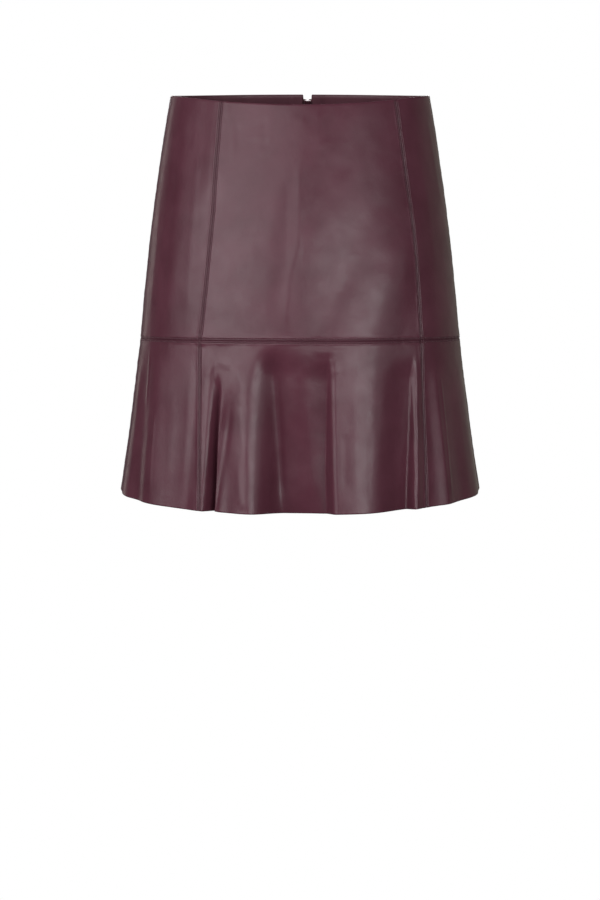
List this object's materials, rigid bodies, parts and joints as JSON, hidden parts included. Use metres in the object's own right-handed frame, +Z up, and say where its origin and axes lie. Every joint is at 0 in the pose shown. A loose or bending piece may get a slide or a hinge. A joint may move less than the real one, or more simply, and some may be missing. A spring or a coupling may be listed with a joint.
{
  "type": "leather skirt",
  "caption": "Short leather skirt with a fitted A-line body, curved front seams, a flared wavy flounce and a concealed back zip.",
  "frame": {"origin": "centre of the waist opening, level with the waist edge at the side seams", "axes": "+Z up, -Y towards the front, +X towards the wearer's left"},
  "size_m": [0.3844, 0.3265, 0.4335],
  "materials": {
    "leather": "smooth nappa, low soft sheen",
    "leather_inside": "smooth nappa facing, dull",
    "zip_tape": "woven, matt",
    "zip_metal": "enamelled to match the leather"
  },
  "bodies": {
    "skirt": {"front_side_right": "leather", "front_centre": "leather", "front_side_left": "leather", "back_left": "leather", "back_right": "leather", "flounce_front_right": "leather", "flounce_front_centre": "leather", "flounce_front_left": "leather", "flounce_back_left": "leather", "flounce_back_right": "leather", "facing_front": "leather_inside", "facing_back_left": "leather_inside", "facing_back_right": "leather_inside", "zip_tape_left": "zip_tape", "zip_tape_right": "zip_tape", "zip_slider": "zip_metal"},
    "zip_pull": {"zip_pull": "zip_metal"}
  },
  "joints": [
    {"name": "zip_pull_swing", "type": "hinge", "parent": "skirt", "child": "zip_pull", "pos_m": [0.00822, 0.10719, -0.00741], "axis": [1, 0, 0], "range_deg": [0, 150]}
  ]
}
